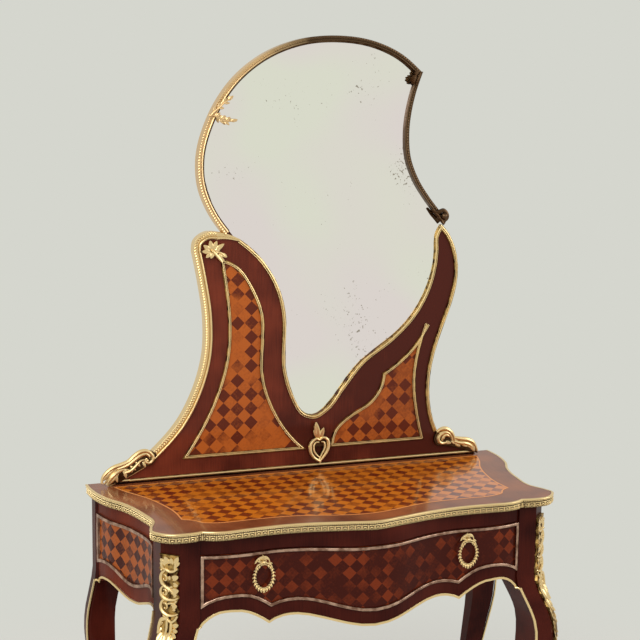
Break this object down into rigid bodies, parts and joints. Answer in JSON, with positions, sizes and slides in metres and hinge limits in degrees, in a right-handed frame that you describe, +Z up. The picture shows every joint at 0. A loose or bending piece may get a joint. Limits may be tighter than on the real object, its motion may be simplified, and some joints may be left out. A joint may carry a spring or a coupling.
{
  "type": "dressing table",
  "caption": "Serpentine dressing table on curved legs with a lipped drawer, wreath pulls, gilt mounts and a tall asymmetric arched mirror stand.",
  "frame": {"origin": "on the floor, under the middle of the footprint", "axes": "+Z up through the mirror's top, +X to the right as seen from the front, +Y to the back; the drawer opens along -Y"},
  "size_m": [1.032, 0.472, 1.756],
  "materials": {
    "crossband_veneer": "dark red-brown crossbanded veneer under gloss polish",
    "parquetry_veneer": "chequer parquetry in two red-brown woods under gloss polish",
    "secondary_oak": "plain oak, unpolished",
    "gilt_bronze": "cast bronze, gilt, worn on the high spots",
    "mirror_plate": "old silvered glass with dark specks"
  },
  "bodies": {
    "table": {"leg_front_left": "crossband_veneer", "leg_front_right": "crossband_veneer", "leg_back_left": "crossband_veneer", "leg_back_right": "crossband_veneer", "sabot_front_left": "gilt_bronze", "sabot_front_right": "gilt_bronze", "sabot_back_left": "gilt_bronze", "sabot_back_right": "gilt_bronze", "side_apron_left": "parquetry_veneer", "side_apron_right": "parquetry_veneer", "side_panel_frames": "gilt_bronze", "back_apron": "secondary_oak", "front_top_rail": "crossband_veneer", "front_apron_rail": "crossband_veneer", "drawer_runner_left": "secondary_oak", "drawer_runner_right": "secondary_oak", "drawer_kickers": "secondary_oak", "corner_blocks": "secondary_oak", "table_top": "parquetry_veneer", "edge_band_front": "gilt_bronze", "edge_band_corners": "gilt_bronze", "edge_band_sides": "gilt_bronze", "apron_fillet_front": "gilt_bronze", "apron_fillets_side": "gilt_bronze", "corner_mounts": "gilt_bronze", "stand_tenons": "secondary_oak", "stand_panel": "parquetry_veneer", "mirror_glass": "mirror_plate", "mirror_backboard": "secondary_oak", "mirror_frame_rail": "crossband_veneer", "mirror_frame_band": "gilt_bronze", "stand_battens": "secondary_oak", "stand_band_left": "gilt_bronze", "stand_base_fillet": "gilt_bronze", "stand_fillet_right": "gilt_bronze", "sight_fillet": "gilt_bronze", "panel_fillet_left": "gilt_bronze", "panel_fillet_right": "gilt_bronze", "scroll_mount_left": "gilt_bronze", "scroll_mount_right": "gilt_bronze", "shoulder_leaf_mount": "gilt_bronze", "mirror_leaf_mounts": "gilt_bronze", "scroll_finial": "gilt_bronze", "heart_pendant": "gilt_bronze"},
    "drawer": {"drawer_front": "parquetry_veneer", "drawer_side_left": "secondary_oak", "drawer_side_right": "secondary_oak", "drawer_back": "secondary_oak", "drawer_bottom": "secondary_oak", "drawer_frame_moulding": "gilt_bronze", "handle_plates": "gilt_bronze", "handle_nuts": "gilt_bronze"},
    "pull_left": {"wreath_pull_left": "gilt_bronze"},
    "pull_right": {"wreath_pull_right": "gilt_bronze"}
  },
  "joints": [
    {"name": "drawer_slide", "type": "slide", "parent": "table", "child": "drawer", "axis": [0, -1, 0], "range_m": [0, 0.24]},
    {"name": "pull_left_hinge", "type": "hinge", "parent": "drawer", "child": "pull_left", "pos_m": [-0.233, -0.19088, 0.683], "axis": [-1, 0, 0], "range_deg": [0, 85]},
    {"name": "pull_right_hinge", "type": "hinge", "parent": "drawer", "child": "pull_right", "pos_m": [0.233, -0.19088, 0.683], "axis": [-1, 0, 0], "range_deg": [0, 85]}
  ]
}
